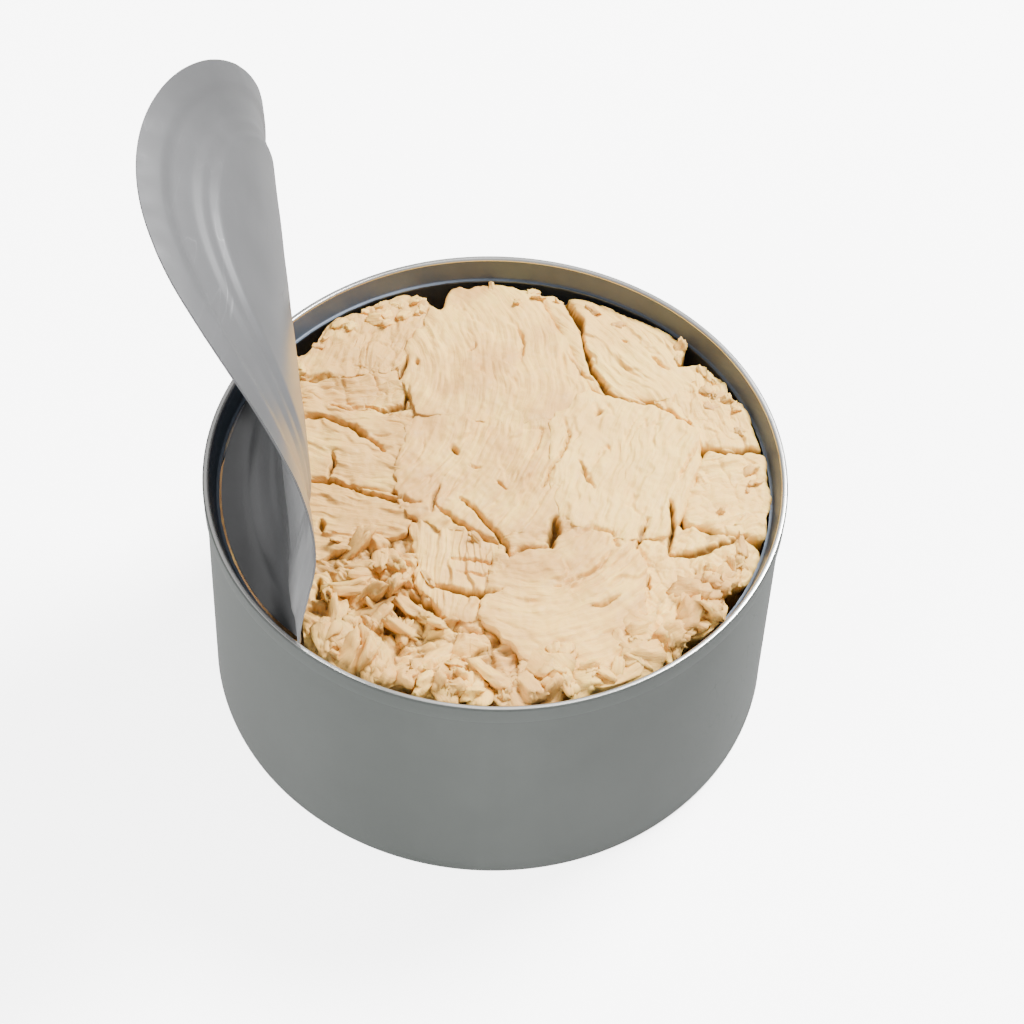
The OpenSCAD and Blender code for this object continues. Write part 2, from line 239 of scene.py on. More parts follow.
def add_bump(tree, shader, height, strength, distance):
    """Tilts the shader's normals after a height."""
    bump = add_node(tree, "ShaderNodeBump", {"Height": height, "Strength": strength,
                                             "Distance": distance})
    set_inputs(shader, {"Normal": bump.outputs["Normal"]})


FLOAT, COLOUR = "NodeSocketFloat", "NodeSocketColor"

# %% [markdown]
# ## Metal finishes
# Tinplate is never even. It has faint clouds from rolling, fine streaks and small
# scratches that catch the light. One group makes all three as masks, and each
# metal uses it with its own strength, so that can, rim and lid look related but
# not the same.

# %% Shared group: rolled sheet
def rolled_sheet_group():
    group, source, result = new_group(
        "rolled_sheet",
        [("Cloud Scale", FLOAT, 60.0), ("Streak Stretch", FLOAT, 0.05),
         ("Roughness", FLOAT, 0.3), ("Spread", FLOAT, 0.08)],
        [("Cloud", FLOAT), ("Scratch", FLOAT), ("Roughness", FLOAT), ("Height", FLOAT)])
    place = add_node(group, "ShaderNodeTexCoord").outputs["Object"]
    cloud = noise_node(group, place, source.outputs["Cloud Scale"], 4.0, 0.55)
    stretch = add_node(group, "ShaderNodeCombineXYZ",
                       {"X": 1.0, "Y": 1.0, "Z": source.outputs["Streak Stretch"]})
    along = stretch_place(group, place, stretch.outputs[0])
    streak = noise_node(group, along, 900.0, 3.0)
    drawn = stretch_place(group, place, (3.0, 0.3, 0.8))
    middle = math_node(group, "SUBTRACT", noise_node(group, drawn, 150.0, 1.0), 0.5)
    middle = math_node(group, "ABSOLUTE", middle, 0.0)
    scratch_mask = remap(group, middle, 0.0, 0.006, 1.0, 0.0)
    rare = remap(group, cloud, 0.52, 0.66)
    scratch_mask = math_node(group, "MULTIPLY", scratch_mask, rare)
    sway = math_node(group, "SUBTRACT", cloud, 0.5)
    sway = math_node(group, "MULTIPLY", sway, source.outputs["Spread"])
    rough = math_node(group, "ADD", source.outputs["Roughness"], sway)
    rough = math_node(group, "ADD", rough, math_node(group, "MULTIPLY", scratch_mask, 0.12))
    height = math_node(group, "ADD", math_node(group, "MULTIPLY", streak, 0.5),
                       math_node(group, "MULTIPLY", scratch_mask, -0.6))
    set_inputs(result, {"Cloud": cloud, "Scratch": scratch_mask, "Roughness": rough,
                        "Height": height})
    return group


ROLLED_SHEET = rolled_sheet_group()


# %% [markdown]
# Each metal drifts between a darker and a lighter tint. The can's outside and the
# lid have a matt lacquer, so only part of their look is metallic. The inside has a
# thin grey lacquer, and the torn rim is bare, bright tin.

# %% Metal materials
SHEET_BUMP = 0.00005    # depth of the rolling marks, in metres


def metal(name, dark, light, metallic, cloud, stretch, rough, spread, bump):
    """A metal that drifts between two tints, with the rolled sheet's marks."""
    material, tree, shader = new_material(name, {"Metallic": metallic})
    sheet = add_node(tree, "ShaderNodeGroup", {"Cloud Scale": cloud, "Streak Stretch": stretch,
                                               "Roughness": rough, "Spread": spread},
                     node_tree=ROLLED_SHEET)
    drift = remap(tree, sheet.outputs["Cloud"], 0.3, 0.7)
    colour = mix_colour(tree, drift, dark, light)
    worn = [min(1.0, 1.25 * c) for c in light[:3]] + [1.0]
    scratch = math_node(tree, "MULTIPLY", sheet.outputs["Scratch"], 0.35)
    set_inputs(shader, {"Base Color": mix_colour(tree, scratch, colour, worn),
                        "Roughness": sheet.outputs["Roughness"]})
    add_bump(tree, shader, sheet.outputs["Height"], bump, SHEET_BUMP)
    return material


# name, dark tint, light tint, metallic, cloud scale, stretch, roughness, spread, bump
BODY_TIN = metal("body_tin", (0.084, 0.092, 0.086, 1), (0.099, 0.107, 0.101, 1), 0.65,
                 25.0, 0.06, 0.42, 0.08, 0.12)
END_TIN = metal("end_tin", (0.46, 0.455, 0.44, 1), (0.56, 0.555, 0.54, 1), 1.0,
                45.0, 1.0, 0.27, 0.10, 0.10)
INNER_LACQUER = metal("inner_lacquer", (0.064, 0.082, 0.110, 1), (0.086, 0.107, 0.142, 1), 0.35,
                      60.0, 1.0, 0.48, 0.15, 0.15)
LID_TIN = metal("lid_tin", (0.100, 0.101, 0.103, 1), (0.124, 0.125, 0.128, 1), 0.5,
                40.0, 0.08, 0.30, 0.12, 0.18)
RING_METAL = metal("ring_metal", (0.45, 0.45, 0.46, 1), (0.56, 0.56, 0.57, 1), 1.0,
                   150.0, 0.4, 0.28, 0.12, 0.2)
print("metals:", [m.name for m in (BODY_TIN, END_TIN, INNER_LACQUER, LID_TIN, RING_METAL)])

# %% [markdown]
# ## The can body
# A press draws wall and base from one disc of sheet, so the body is one surface
# of revolution: a section spun once round the axis. The base stands on a narrow
# ring, and its panel carries round beads that stiffen it. The sheet's thickness
# comes afterwards with solidify, inwards, so the outside keeps its size.

# %% Can body
BEAD_PITCH, BEAD_WIDTH, BEAD_HEIGHT, BEADS = 6.0, 3.0, 0.5, 3
WALL_STEPS, BODY_STEPS = 24, 192
DENT, DENT_CHANGE, DENT_SIZE = 0.04, 0.05, 17


def base_bead(first, step):
    """One bead of the base panel, from its inner to its outer side."""
    middle = first - step * BEAD_PITCH
    turns = [i / 12 for i in range(13)]
    return [Vector((middle + (t - 0.5) * BEAD_WIDTH, 0,
                    BASE_RECESS + BEAD_HEIGHT * (1 - math.cos(math.tau * t)) / 2))
            for t in turns]


def make_can_body():
    bm = bmesh.new()
    section = [Vector((0, 0, BASE_RECESS))]
    for k in reversed(range(BEADS)):
        section += base_bead(BASE_PANEL - BEAD_PITCH, k)
    section += [Vector((BASE_PANEL, 0, BASE_RECESS)), Vector((STAND_INNER, 0, 0))]
    section += arc(STAND_OUTER, BASE_CORNER, BASE_CORNER, -90, 0, 10)
    foot = Vector((BASE_RADIUS, 0, BASE_CORNER))
    neck = Vector((BODY_RADIUS, 0, CAN_HEIGHT - SEAM_HEIGHT))
    section += [foot.lerp(neck, (i + 1) / WALL_STEPS) for i in range(WALL_STEPS)]
    section += [Vector((BODY_RADIUS, 0, BODY_TOP))]
    spin_round(bm, add_path(bm, section), BODY_STEPS)
    for vert in bm.verts:
        x, y, z = vert.co
        radius = math.hypot(x, y)
        if radius > BODY_RADIUS - 0.01 and BASE_CORNER - 0.1 < z < neck.z - 0.5:
            dent = DENT + DENT_CHANGE * noise.noise(Vector((x, y, 0.4 * z)) / DENT_SIZE)
            vert.co.x -= x / radius * dent
            vert.co.y -= y / radius * dent
    bmesh.ops.solidify(bm, geom=bm.faces[:], thickness=BODY_SHEET)
    for face in bm.faces:
        inward = face.normal.xy.dot(face.calc_center_median().xy) < 0
        face.material_index = 1 if inward else 0
    shell = finish_piece(bm, "can_shell", BODY_TIN, "body_tin", ["can_body"])
    shell.data.materials.append(INNER_LACQUER)


make_can_body()

# %% [markdown]
# ## The seam and the torn ring
# The end was rolled together with the body's edge into a double seam. When the
# lid was pulled away, the seam, the sloping chuck wall and a thin torn lip stayed
# behind. The section is closed, so it only needs a spin. A little noise on the
# lip's inner edge makes it look torn and not cut.

# %% Seam and torn ring
LIP_CORNER = 0.25
TEAR, TEAR_SIZE = 0.12, 1.3     # how far the tear wanders sideways, and its waves
WARP, WARP_SIZE = 0.06, 2.1     # the same up and down
RING_STEPS = 256


def make_torn_ring():
    bm = bmesh.new()
    seam_radius = BODY_RADIUS + SEAM_STEP
    seam_base = CAN_HEIGHT - SEAM_HEIGHT
    inner_top = CHUCK_TOP - END_SHEET
    outer = BODY_RADIUS + SEAM_PLAY
    waist = Vector((seam_radius - 0.03, 0, seam_base + 0.45 * SEAM_HEIGHT))
    section = [Vector((outer, 0, BODY_TOP)), Vector((outer, 0, seam_base))]
    foot_round = (SEAM_STEP - SEAM_PLAY) / 2
    section += arc(seam_radius - foot_round, seam_base + foot_round, foot_round, -90, 0, 4)
    section += [waist]
    section += arc(seam_radius - SEAM_ROUND, CAN_HEIGHT - SEAM_ROUND, SEAM_ROUND, 0, 90)
    section += arc(inner_top + SEAM_ROUND, CAN_HEIGHT - SEAM_ROUND, SEAM_ROUND, 90, 180)
    chuck_foot = CHUCK_BASE - END_SHEET
    section += arc(chuck_foot - LIP_CORNER, LIP_LEVEL + LIP_CORNER, LIP_CORNER, 0, -90, 4)
    section += [Vector((OPENING, 0, LIP_LEVEL)), Vector((OPENING, 0, LIP_LEVEL - END_SHEET)),
                Vector((CHUCK_BASE, 0, LIP_LEVEL - END_SHEET)), Vector((CHUCK_TOP, 0, BODY_TOP))]
    spin_round(bm, add_path(bm, section, closed=True), RING_STEPS)
    for vert in bm.verts:
        x, y, z = vert.co
        radius = math.hypot(x, y)
        if radius < OPENING + 0.01:
            shift = TEAR * abs(noise.noise(Vector((x, y, 0)) / TEAR_SIZE))
            vert.co.x += x / radius * shift
            vert.co.y += y / radius * shift
            vert.co.z += WARP * noise.noise(Vector((x, y, 40)) / WARP_SIZE)
    for face in bm.faces:
        middle = face.calc_center_median()
        if middle.xy.length > BODY_RADIUS - 0.25 and face.normal.z < 0.9:
            face.material_index = 1
        elif middle.z < CAN_HEIGHT - SEAM_ROUND:
            face.material_index = 2
    ring = finish_piece(bm, "torn_ring", END_TIN, "end_tin", ["can_end"])
    ring.data.materials.append(BODY_TIN)
    ring.data.materials.append(INNER_LACQUER)


make_torn_ring()

# %% [markdown]
# ## The peeled lid
# Flat, the lid is a disc with pressed rings. Peeling bent it in one direction
# only, so every line square to the pull stayed straight: a cylinder-like bend
# whose radius changes along the lid. So the flat disc is spun first, with its
# rings, and then each point is carried along the bend. `bend_at` adds up small
# steps of the bent middle line, from the fold at the rim to the tip.

# %% The lid's bend
HEADING = math.radians(10)
FOLD_STRIP = 3.3
FOLD_RADIUS = 5.9
FOLD_TURN = math.radians(96)
BELLY_RADIUS = 84.0
CURL_START = 36.7
CURL_RADIUS = 22.1
LID_RINGS = ((4.9, 8.2, 0.34), (12.0, None, -0.5))    # from the edge: start, end, rise
RING_SLOPE = 1.4

LID_RADIUS = OPENING - TEAR_GAP
FOLD_CHORD = LID_RADIUS - FOLD_STRIP
FOLD_LENGTH = FOLD_RADIUS * FOLD_TURN
LID_LENGTH = FOLD_CHORD + LID_RADIUS
BEND_STEPS = 1200
HEAD = Vector((math.cos(HEADING), math.sin(HEADING), 0))
ACROSS = Vector((-math.sin(HEADING), math.cos(HEADING), 0))
UP = Vector((0, 0, 1))


def lid_turn(s):
    """Turn of the lid at distance s from the fold, in radians."""
    if s <= 0:
        return 0.0
    if s < FOLD_LENGTH:
        turn = FOLD_TURN * s / FOLD_LENGTH
    else:
        turn = FOLD_TURN - (s - FOLD_LENGTH) / BELLY_RADIUS
    return turn + max(0.0, s - CURL_START) / CURL_RADIUS


def bend_line():
    """Places on the bent middle line at equal steps of its length."""
    step = LID_LENGTH / BEND_STEPS
    places = [Vector((0, 0))]
    for i in range(BEND_STEPS + 1):
        turn = lid_turn((i + 0.5) * step)
        places.append(places[-1] + step * Vector((math.cos(turn), math.sin(turn))))
    return places


BEND = bend_line()


def bend_at(s):
    if s <= 0:
        return Vector((s, 0))
    place = s / LID_LENGTH * BEND_STEPS
    k = min(int(place), BEND_STEPS)
    return BEND[k].lerp(BEND[k + 1], place - k)


def on_lid(s, q, h):
    """The place s from the fold, q sideways and h out of the lid's middle surface."""
    along, turn = bend_at(s), lid_turn(s)
    out = along.x - FOLD_CHORD - h * math.sin(turn)
    up = along.y + h * math.cos(turn) + LIP_LEVEL - END_SHEET / 2
    return out * HEAD + q * ACROSS + up * UP


tip = on_lid(LID_LENGTH, 0, 0)
print(f"lid tip at {tip.x:.1f}, {tip.y:.1f}, {tip.z:.1f} mm,",
      f"turned {math.degrees(lid_turn(LID_LENGTH)):.0f} degrees")

# %% [markdown]
# The pressed rings are a relief on the flat disc, a raised band and a sunk middle.
# The sheet gets its thickness while it is flat, and only then is it bent. A little
# noise keeps the bent sheet from looking like a perfect cylinder.

# %% The peeled lid
LID_RING_STEP, LID_SPIN_STEPS = 0.6, 300
TORN_EDGE = 0.15        # the tear leaves the lid a little smaller than its score line
WAVE, WAVE_SIZE = 0.10, 9
EDGE_WAVE, EDGE_WAVE_SIZE = 0.05, 2.5


def lid_relief(inset):
    """Height of the pressed rings at a distance from the lid's edge."""
    height = 0.0
    for start, stop, rise in LID_RINGS:
        height += rise * ease(inset, max(0.0, start - RING_SLOPE), start)
        if stop:
            height -= rise * ease(inset, stop, stop + RING_SLOPE)
    return height


def make_lid():
    bm = bmesh.new()
    radius = LID_RADIUS - TORN_EDGE
    count = int(radius / LID_RING_STEP)
    section = [Vector((radius * i / count, 0, 0)) for i in range(count + 1)]
    for point in section:
        point.z = lid_relief(LID_RADIUS - point.x)
    spin_round(bm, add_path(bm, section), LID_SPIN_STEPS)
    bmesh.ops.solidify(bm, geom=bm.faces[:], thickness=-END_SHEET)
    low_z = min(v.co.z for v in bm.verts)
    base = [v for v in bm.verts if abs(v.co.xy.length - radius) < 0.01]
    middle = sum(v.co.z for v in base) / len(base)
    for vert in bm.verts:
        x, y, z = vert.co
        inset = LID_RADIUS - math.hypot(x, y)
        rough = WAVE * noise.noise(Vector((x, y, 0)) / WAVE_SIZE)
        rough += EDGE_WAVE * noise.noise(Vector((x, y, 5)) / EDGE_WAVE_SIZE) * ease(inset, 5, 0)
        s = FOLD_CHORD + x
        vert.co = on_lid(s, y, z - middle + rough * ease(s, 2, 12))
    print(f"lid: lowest relief {low_z:.2f} mm, middle of the edge {middle:.2f} mm")
    finish_piece(bm, "peeled_lid", LID_TIN, "end_tin", ["can_end"])


make_lid()

# %% [markdown]
# ## Pull ring and rivet
# The ring that pulled the lid off sits on its outer face, near the curled tip.
# It is stamped from thicker sheet, so it has soft edges. The CAD solid already
# has its true outline, so a merged copy of it is cleaned of its flat triangle
# edges and then bevelled. The rivet gets the same treatment.

# %% Pull ring and rivet
def soften_copy(node, name, width, segments):
    """A bevelled copy of a CAD node's mesh, in millimetres until it is finished."""
    bm = bmesh.new()
    bm.from_mesh(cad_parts[node].data)
    bmesh.ops.scale(bm, vec=(1 / MM, 1 / MM, 1 / MM), verts=bm.verts)
    bmesh.ops.remove_doubles(bm, verts=bm.verts, dist=1e-3)
    bmesh.ops.dissolve_limit(bm, angle_limit=math.radians(2), verts=bm.verts, edges=bm.edges)
    bmesh.ops.recalc_face_normals(bm, faces=bm.faces)
    sharp = [e for e in bm.edges if len(e.link_faces) == 2
             and e.calc_face_angle(0) > math.radians(40)]
    bmesh.ops.bevel(bm, geom=sharp, offset=width, offset_type="OFFSET", affect="EDGES",
                    segments=segments, profile=0.5, material=-1, clamp_overlap=True)
    finish_piece(bm, name, RING_METAL, "ring_metal", [node])


soften_copy("pull_ring", "finger_ring", 0.28, 3)
soften_copy("rivet", "rivet_head", 0.15, 2)

# %% [markdown]
# ## What cooked fish looks like
# Canned tuna is pale and dry-looking where it faces the light, and a little pinker
# where the muscle is dark. The group below blends these tones and adds brown as
# painted shade in the creases. It reads two attributes that the mesh carries:
# `fibre` holds a place measured along and across the muscle fibres, so the fine
# streaks follow the meat, and `crease` says how deep a point lies, which sets how
# much painted shade it gets.

# %% Shared group: flesh
def flesh_group():
    group, source, result = new_group(
        "flesh",
        [("Pale", COLOUR, (0.85, 0.74, 0.56, 1)), ("Blush", COLOUR, (0.74, 0.55, 0.40, 1)),
         ("Crease", COLOUR, (0.32, 0.16, 0.08, 1)), ("Blush Amount", FLOAT, 0.5)],
        [("Colour", COLOUR), ("Roughness", FLOAT), ("Height", FLOAT)])
    place = add_node(group, "ShaderNodeTexCoord").outputs["Object"]
    fibre = add_node(group, "ShaderNodeAttribute", attribute_name="fibre")
    crease = add_node(group, "ShaderNodeAttribute", attribute_name="crease")
    patches = noise_node(group, place, 75.0, 3.0)
    mottle = noise_node(group, place, 420.0, 4.0, 0.6)
    streaks = noise_node(group, fibre.outputs["Vector"], 1.0, 4.0, 0.6)
    golden = remap(group, noise_node(group, place, 120.0), 0.5, 0.72, 0.0, 0.5)
    blush = remap(group, patches, 0.42, 0.62)
    blush = math_node(group, "MULTIPLY", blush, source.outputs["Blush Amount"])
    colour = mix_colour(group, blush, source.outputs["Pale"], source.outputs["Blush"])
    colour = mix_colour(group, golden, colour, (0.87, 0.60, 0.155, 1))
    streak = remap(group, streaks, 0.35, 0.7, 0.0, 0.6)
    colour = mix_colour(group, streak, colour, source.outputs["Blush"])
    spots = remap(group, mottle, 0.55, 0.8, 0.0, 0.22)
    colour = mix_colour(group, spots, colour, (0.90, 0.68, 0.30, 1))
    # Painted shade: the crease attribute turns the colour brown in cracks and low places, and
    # the same mask makes them a little glossier.
    painted_shade_mask = remap(group, crease.outputs["Fac"], 0.12, 0.85)
    colour = mix_colour(group, painted_shade_mask, colour, source.outputs["Crease"])
    rough = remap(group, mottle, 0.3, 0.7, 0.62, 0.5)
    rough = math_node(group, "SUBTRACT", rough, math_node(group, "MULTIPLY", painted_shade_mask, 0.15))
    height = math_node(group, "ADD", math_node(group, "MULTIPLY", streaks, 1.0),
                       math_node(group, "MULTIPLY", mottle, 0.6))
    set_inputs(result, {"Colour": colour, "Roughness": rough, "Height": height})
    return group


FLESH = flesh_group()


# %% [markdown]
# Flesh lets a little light in, so the shader gets some subsurface scattering. Four
# kinds are used: cream in the middle; paler at the right, a lit copy of the cream
# that paints the stronger light there; tan at the left, partly the meat's own tone
# and partly painted shade; and dark, painted shade for the fish that only shows
# deep in the cracks.

# %% Fish materials
FLESH_BUMP = 0.0004     # depth of the finest grain, in metres


def fish(name, pale, blush, crease, amount):
    """Cooked fish in three tones."""
    material, tree, shader = new_material(name, {
        "Subsurface Weight": 0.14, "Subsurface Radius": (1.0, 0.55, 0.3),
        "Subsurface Scale": 0.0012, "Specular IOR Level": 0.2})
    flesh = add_node(tree, "ShaderNodeGroup", {"Pale": pale, "Blush": blush, "Crease": crease,
                                               "Blush Amount": amount}, node_tree=FLESH)
    set_inputs(shader, {"Base Color": flesh.outputs["Colour"],
                        "Roughness": flesh.outputs["Roughness"]})
    add_bump(tree, shader, flesh.outputs["Height"], 0.7, FLESH_BUMP)
    return material


# The third colour of each kind is the brown of painted shade in its creases.
FISH_CREAM = fish("fish_cream", (0.86, 0.530, 0.135, 1), (0.60, 0.320, 0.092, 1),
                  (0.31, 0.170, 0.045, 1), 0.85)
# A lit copy of the cream: paler, to paint the stronger light on the right-hand blocks.
FISH_LIT_PALE = fish("fish_pale", (0.90, 0.580, 0.155, 1), (0.76, 0.440, 0.115, 1),
                 (0.31, 0.170, 0.045, 1), 0.6)
# The tan is partly the meat's own tone and partly painted shade on the left-hand blocks.
FISH_TAN = fish("fish_tan", (0.67, 0.385, 0.105, 1), (0.60, 0.330, 0.088, 1),
                (0.28, 0.150, 0.040, 1), 0.75)
# Dark painted shade for the fish under the blocks, which shows only in cracks and bays.
DEEP_SHADE_FISH = fish("fish_deep", (0.34, 0.19, 0.08, 1), (0.25, 0.13, 0.055, 1),
                 (0.12, 0.055, 0.025, 1), 0.7)

# %% [markdown]
# ## How the fish is packed
# The blocks of fish were pressed against each other, so most of their borders are
# closed and only some have opened into cracks. Each block starts as a spun disc
# with a rounded side. Its outline is read from the CAD block, and then widened a
# little where the border is closed, so that neighbours press into each other.

# %% The fish's general level
FISH_DROP_BACK, FISH_DROP_FRONT, BULGE = 3.6, 1.4, 0.8
REACH = OPENING - 0.5
RINGS, SECTORS = 62, 256        # points of a block along and round its top


def fish_level(x, y):
    """General height of the fish: lower at the back, bulged in the middle."""
    mean = (FISH_DROP_BACK + FISH_DROP_FRONT) / 2
    slope = (FISH_DROP_BACK - FISH_DROP_FRONT) / 2
    bulge = BULGE * (1 - (x * x + y * y) / REACH ** 2)
    return CAN_HEIGHT - mean - slope * y / REACH + bulge


def block_outline(node):
    """Middle of a CAD block's foot, and its foot's corners round that middle."""
    verts = [v.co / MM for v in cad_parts[node].data.vertices]
    foot = min(v.z for v in verts)
    flat = sorted({(round(v.x, 3), round(v.y, 3)) for v in verts if v.z < foot + 0.01})
    ring = [Vector(flat[i]) for i in geometry.convex_hull_2d([Vector(p) for p in flat])]
    middle = sum(ring, Vector((0, 0))) / len(ring)
    return middle, ring, foot


BLOCKS = sorted(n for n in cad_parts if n.startswith("chunk_")) + ["front_flakes"]
OUTLINES = {node: block_outline(node) for node in BLOCKS}
BED_TOP = OUTLINES["chunk_back"][2]
print("blocks of fish:", len(BLOCKS), f"standing on {BED_TOP:.1f} mm")

# %% [markdown]
# Cracks, dimples and notches are the marks that make fish look like fish. A crack
# is a short chain of points with a width and a depth. `mark_depth` measures how
# far each point of a block is from every crack at once, with numpy, and carves a
# smooth groove there. Dimples are cracks with one short stroke each.

# %% Cracks
CRACKS = [
    # points, width, depth, in millimetres
    ([(9.5, 40), (10.5, 36), (12, 33), (12.5, 30)], 0.75, 3.0),
    ([(12.5, 30), (13, 27), (14.5, 22.5), (16.5, 18.8), (19, 16.3)], 0.55, 2.2),
    ([(15, 21), (17, 18), (19.5, 16.2)], 0.8, 2.0),
    ([(19, 16.3), (22, 16.3), (25.5, 14.8), (29, 12.5)], 0.5, 1.8),
    ([(10, 26), (12.5, 22.5), (14.5, 20.5)], 0.35, 0.8),
    ([(31, 8.0), (34, 7.2), (37, 8.0), (40, 8.3)], 0.5, 1.6),
    ([(30, 8.2), (28.3, 5), (26.8, 1.5)], 0.4, 0.7),
    ([(25.5, -2.5), (26, -6), (25.3, -11.5)], 0.5, 2.2),
    ([(25.3, -11.8), (29, -11.6), (33, -9.7), (36.5, -8.4)], 0.65, 2.0),
    ([(22.3, -5.8), (21.6, -8.5), (20.6, -11.2)], 0.4, 1.5),
    ([(8.9, -6.5), (8.7, -9), (8.3, -11.8)], 0.85, 4.0),
    ([(-28, -1), (-24, -1), (-20, -2.6), (-15, -4), (-10.5, -5)], 0.45, 1.6),
    ([(-24.2, 4.2), (-24, 1.5), (-24.6, -1)], 0.35, 1.4),
    ([(-8.2, -1.5), (-8.8, -4), (-9, -6.5)], 0.45, 1.4),
    ([(-8.6, -5), (-6.5, -7), (-4.5, -8.2), (-2, -10.3), (2, -11.8)], 0.45, 1.5),
    ([(-5, -3.6), (-3, -5.2), (-1, -8), (1.8, -11.5), (2.5, -14)], 0.5, 1.8),
    ([(2.2, -13.8), (4.5, -12), (8, -12)], 0.5, 1.3),
    ([(-30, 11), (-26, 11), (-22, 9.5), (-19, 7), (-16.5, 4.8)], 0.6, 1.5),
    ([(-25, 13.5), (-23, 12.8), (-20, 13.2)], 0.5, 1.2),
    ([(-14.2, 24), (-14.8, 21.5), (-15.2, 19)], 0.55, 1.8),
    ([(-13, 23.2), (-12.6, 22)], 0.4, 1.0),
    ([(-31, 18.8), (-28.5, 18.2), (-25.5, 19)], 0.45, 0.9),
    ([(-20, 14), (-17, 13.2), (-14.5, 14.5), (-13.8, 17)], 0.6, 1.4),
    ([(2.5, 31), (3.5, 27.5), (3.2, 24)], 0.35, 0.9),
    ([(-5, 24.8), (-3.8, 26.8)], 0.4, 0.8),
    ([(-6.5, 6.2), (-5.6, 4.6)], 0.55, 1.8),
    ([(-3.8, 2.3), (-2.3, 2.2)], 0.4, 0.9),
    ([(0.3, -0.5), (1.6, -1.6)], 0.35, 0.8),
    ([(4.6, 9.8), (6.8, 10), (6, 6), (4.8, 3.8)], 0.35, 0.7),
    ([(9.8, 12), (10.6, 8), (8.4, 2.5), (6.8, -1.5)], 0.4, 0.9),
    ([(12.4, 3.8), (13.4, 1.2), (14.4, -0.8)], 0.35, 1.0),
    ([(15.6, 14), (14.6, 12.8)], 0.6, 1.2),
    ([(23.2, 26), (25.8, 23.4)], 0.4, 0.9),
    ([(18.6, 28.8), (19.8, 28.2)], 0.35, 0.6),
    ([(28.4, -19.5), (29.2, -21.6)], 0.4, 1.2),
    ([(29.3, -22), (31.5, -22.4)], 0.35, 0.9),
    ([(22.6, -15.5), (22.2, -19)], 0.35, 0.9),
    ([(23, -24.8), (23.2, -28), (22.6, -31)], 1.0, 2.8),
    ([(14, -22.4), (16, -21.6), (18.5, -20)], 0.4, 1.0),
    ([(9, -19), (12, -17.6), (15.5, -15), (17, -12)], 0.5, 0.9),
    ([(12, -9.6), (14.5, -7.8), (17, -8.6), (18, -11.5)], 0.5, 0.8),
    ([(-8.2, -19), (-5, -20), (-1.5, -20.4), (1.5, -19.6)], 0.6, 1.8),
    ([(-6, -14.5), (-2, -14.8), (1.2, -14.6)], 0.35, 0.7),
    ([(-5, -17), (-1, -17), (1, -16.6)], 0.35, 0.5),
    ([(-25, -8.3), (-24.4, -10.5)], 0.55, 1.6),
    ([(-20.5, -11.5), (-19.6, -13.5)], 0.5, 1.6),
    ([(-14.8, -11.5), (-14.2, -13.6)], 0.6, 1.6),
    ([(-24.4, -18.4), (-24.2, -21.8)], 0.6, 1.8),
    ([(-16.4, -17), (-15.4, -20.5), (-13, -23), (-11, -25)], 1.0, 2.4),
    ([(-14.6, -25), (-14, -27.6)], 0.5, 2.0),
    ([(-11.5, -20.5), (-8.5, -22.8), (-7, -24.6)], 0.7, 1.9),
    ([(-20.5, -31.5), (-18, -34.2)], 0.8, 1.8),
    ([(-23, -20.8), (-20, -21.4)], 0.5, 1.2),
]
# The crease colour is painted shade; a groove this deep gets all of it.
CREASE_DEPTH = 1.6      # a groove this deep is fully brown
CRACK_LEVEL = LIP_LEVEL - 0.3
RISE_SHIFT = 0.82       # the places above hold on that level, and move back as fish rises
GROOVE = 0.8            # share of its width that a crack opens


def mark_depth(x, y):
    """Depth carved by the cracks at many points at once."""
    points = np.column_stack((x, y))
    points[:, 1] += RISE_SHIFT * (fish_level(x, y) - CRACK_LEVEL)
    points[:, 0] += 0.35 * noise_at(x, y, 2.2, 70) + 0.28 * noise_at(x, y, 0.8, 71)
    points[:, 1] += 0.35 * noise_at(x, y, 2.2, 72) + 0.28 * noise_at(x, y, 0.8, 73)
    depth = np.zeros(len(points))
    for chain, width, deep in CRACKS:
        nearest = np.full(len(points), 1e9)
        place = np.zeros(len(points))
        for k, (start, end) in enumerate(zip(chain, chain[1:])):
            start, end = np.array(start, float), np.array(end, float)
            along = end - start
            share = np.clip((points - start) @ along / (along @ along), 0, 1)
            gap = np.hypot(*(points - start - share[:, None] * along).T)
            closer = gap < nearest
            nearest = np.where(closer, gap, nearest)
            place = np.where(closer, (k + share) / (len(chain) - 1), place)
        taper = 0.35 + 0.65 * np.sin(np.pi * np.clip(place, 0.02, 0.98)) ** 0.5
        groove = np.exp(-(nearest / (GROOVE * width * taper)) ** 2 * 1.6)
        depth = np.maximum(depth, deep * taper * groove)
    return depth


print("cracks:", len(CRACKS))

# %% [markdown]
# The wall limits the fish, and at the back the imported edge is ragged, with bays
# where the dark inside of the can shows. `wall_limit` gives the furthest that the
# fish reaches in a direction; each bay takes a bite out of it.

# %% The fish's edge along the wall
BAYS = [
    # direction in degrees, width in degrees, depth in millimetres
    (106, 3.6, 5.5), (98, 2.4, 1.2), (141, 8.0, 3.0), (124, 3.0, 1.0), (152, 5.0, 1.5),
    (76, 2.2, 2.2), (60, 8.0, 0.6), (41, 3.0, 4.0), (35, 2.0, 1.6), (27, 4.0, 1.4),
    (-8, 4.0, 0.8), (-30, 4.0, 2.6), (-45, 4.0, 1.4), (-70, 4.0, 0.6), (-105, 3.0, 0.8),
]


def wall_limit(angle):
    """How far the fish reaches from the can's axis in each direction, in radians."""
    bite = np.zeros(len(angle))
    for middle, width, depth in BAYS:
        off = (np.degrees(angle) - middle + 180) % 360 - 180
        bite = np.maximum(bite, depth * np.exp(-(off / width) ** 2 * 2))
    ragged = 0.5 * noise_at(np.cos(angle), np.sin(angle), 0.14)
    ragged += 0.35 * noise_at(np.cos(angle), np.sin(angle), 0.04, 5)
    return OPENING - 0.15 - bite - np.abs(ragged)


# %% [markdown]
# Each block has its own character: how its flakes run (straight at an angle, or
# in arcs round a point), how far apart and how high their steps are, and how
# rough it is. `OPEN` names the borders that have opened; all others are closed.

